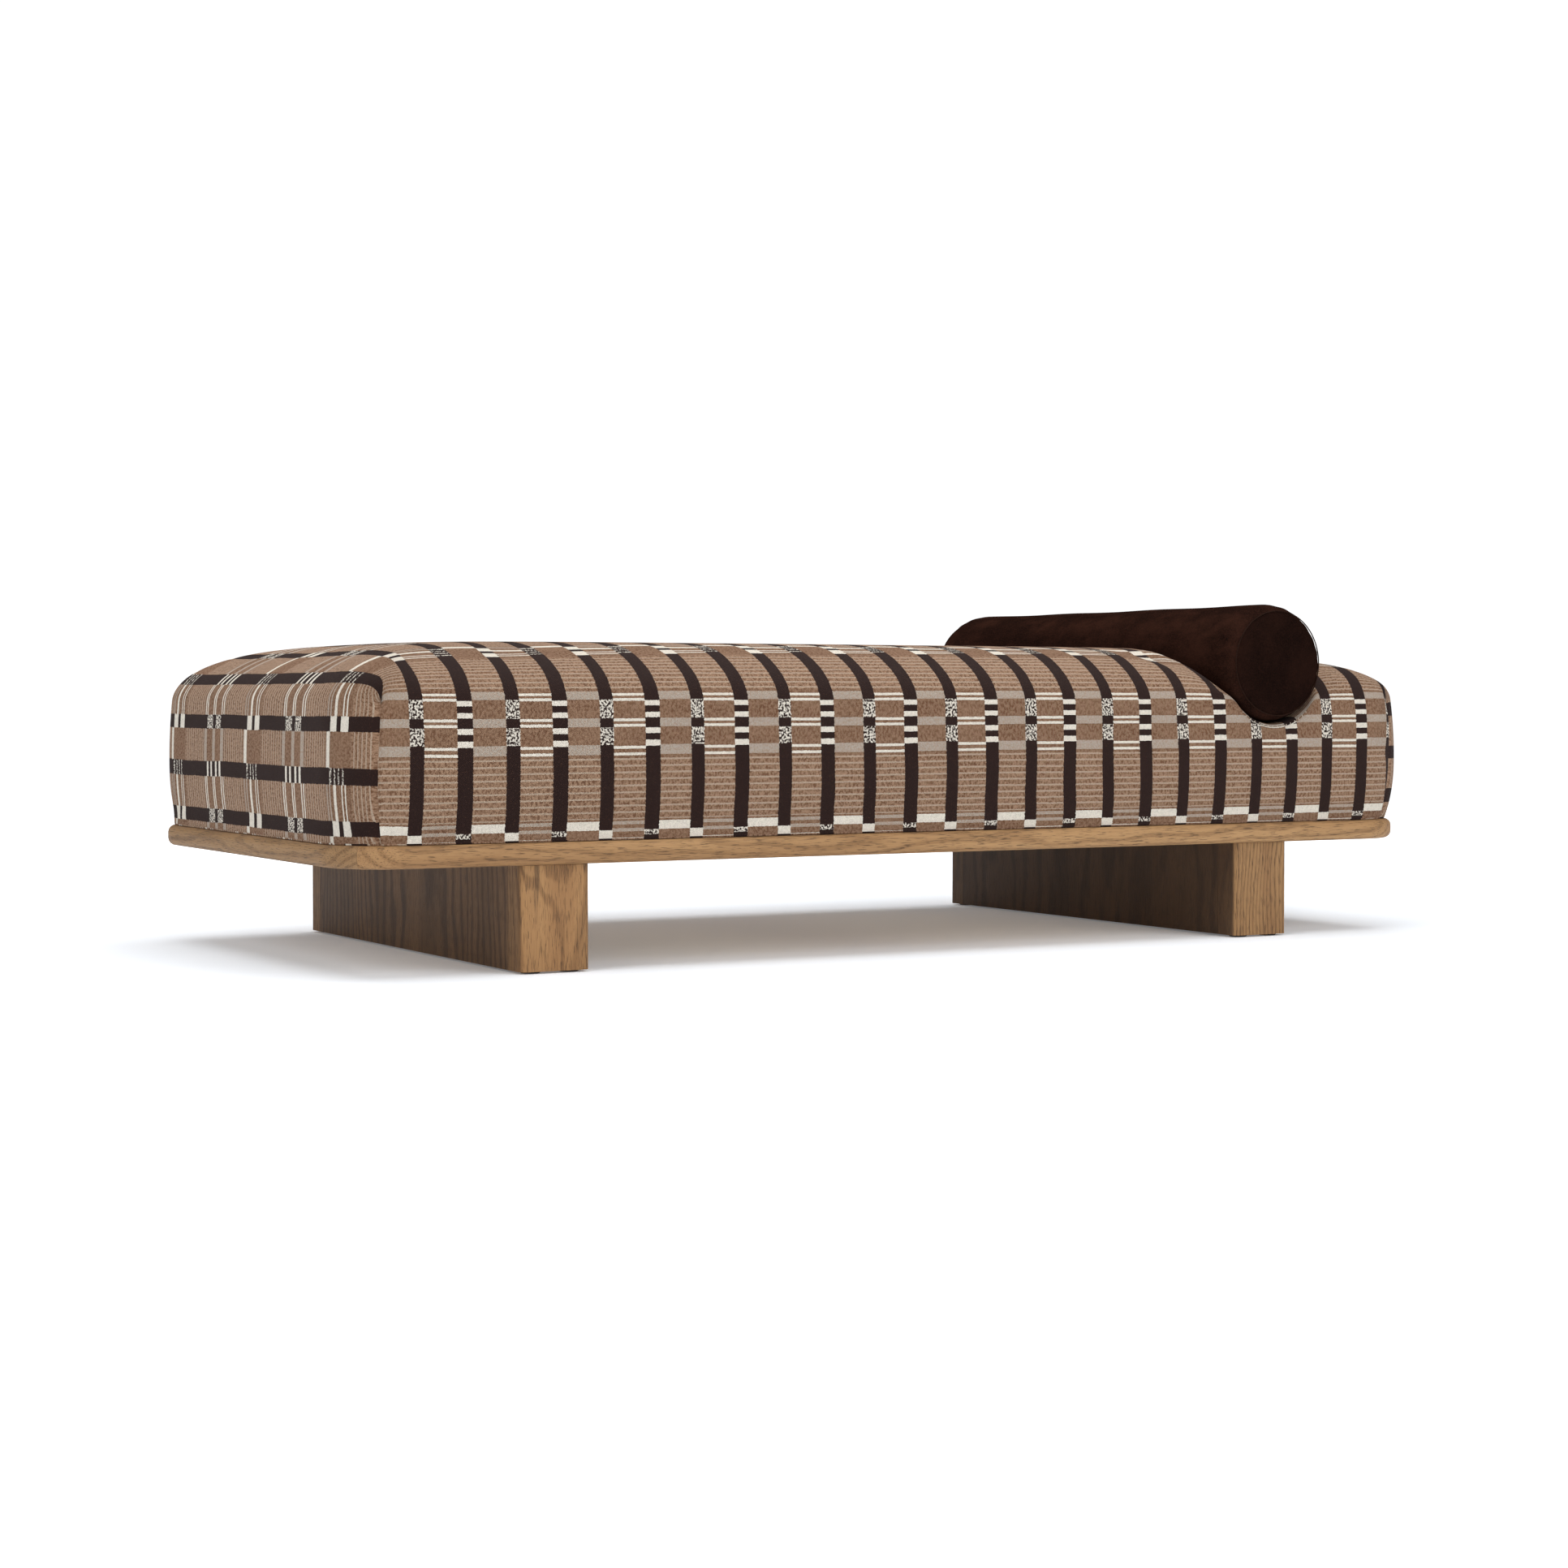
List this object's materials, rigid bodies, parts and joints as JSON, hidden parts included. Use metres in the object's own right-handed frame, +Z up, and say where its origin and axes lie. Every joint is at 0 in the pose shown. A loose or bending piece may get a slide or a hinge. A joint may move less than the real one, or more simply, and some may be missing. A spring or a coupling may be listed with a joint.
{
  "type": "daybed",
  "caption": "Daybed: a flat oak plinth on two broad box legs, a fitted striped mattress block and a round bolster resting in a groove across it.",
  "frame": {"origin": "centre of the daybed at floor level, under the middle of the plinth", "axes": "+X along the length towards the head end with the bolster, -Y to the front long side, +Z up"},
  "size_m": [2.006, 0.926, 0.571],
  "materials": {
    "oak": "oiled oak, satin",
    "plywood": "raw birch plywood",
    "weave": "heavy striped chenille weave",
    "foam": "open cell upholstery foam",
    "velvet": "dark mohair velvet",
    "filling": "fibre filling in a plain case",
    "steel": "zinc plated",
    "nylon": "moulded nylon",
    "tape": "woven zip tape"
  },
  "bodies": {
    "bed": {"back_rail": "oak", "base_board": "plywood", "cradle_foam": "foam", "deck_panel": "plywood", "foot_bearer": "plywood", "foot_leg_back_post": "oak", "foot_leg_bottom_rail": "plywood", "foot_leg_front_post": "oak", "foot_leg_glide_back_left": "nylon", "foot_leg_glide_back_right": "nylon", "foot_leg_glide_front_left": "nylon", "foot_leg_glide_front_right": "nylon", "foot_leg_inner_board": "oak", "foot_leg_outer_board": "oak", "foot_leg_top_rail": "plywood", "foot_rail": "oak", "front_rail": "oak", "head_bearer": "plywood", "head_foam": "foam", "head_leg_back_post": "oak", "head_leg_bottom_rail": "plywood", "head_leg_front_post": "oak", "head_leg_glide_back_left": "nylon", "head_leg_glide_back_right": "nylon", "head_leg_glide_front_left": "nylon", "head_leg_glide_front_right": "nylon", "head_leg_inner_board": "oak", "head_leg_outer_board": "oak", "head_leg_top_rail": "plywood", "head_rail": "oak", "leg_bolt_1": "steel", "leg_bolt_2": "steel", "leg_bolt_3": "steel", "leg_bolt_4": "steel", "leg_bolt_5": "steel", "leg_bolt_6": "steel", "mattress_cover": "weave", "mattress_screw_1": "steel", "mattress_screw_2": "steel", "mattress_screw_3": "steel", "mattress_screw_4": "steel", "middle_bearer": "plywood", "seat_foam": "foam"},
    "bolster": {"bolster_end_back": "velvet", "bolster_end_front": "velvet", "bolster_filling": "filling", "bolster_piping_back": "velvet", "bolster_piping_front": "velvet", "bolster_tube": "velvet", "zip_tape": "tape"},
    "zip_pull": {"zip_slider": "steel"}
  },
  "joints": [
    {"name": "bolster_lift", "type": "slide", "parent": "bed", "child": "bolster", "axis": [0, 0, 1], "range_m": [0, 0.25]},
    {"name": "zip_run", "type": "slide", "parent": "bolster", "child": "zip_pull", "axis": [0, 1, 0], "range_m": [0, 0.72]}
  ]
}
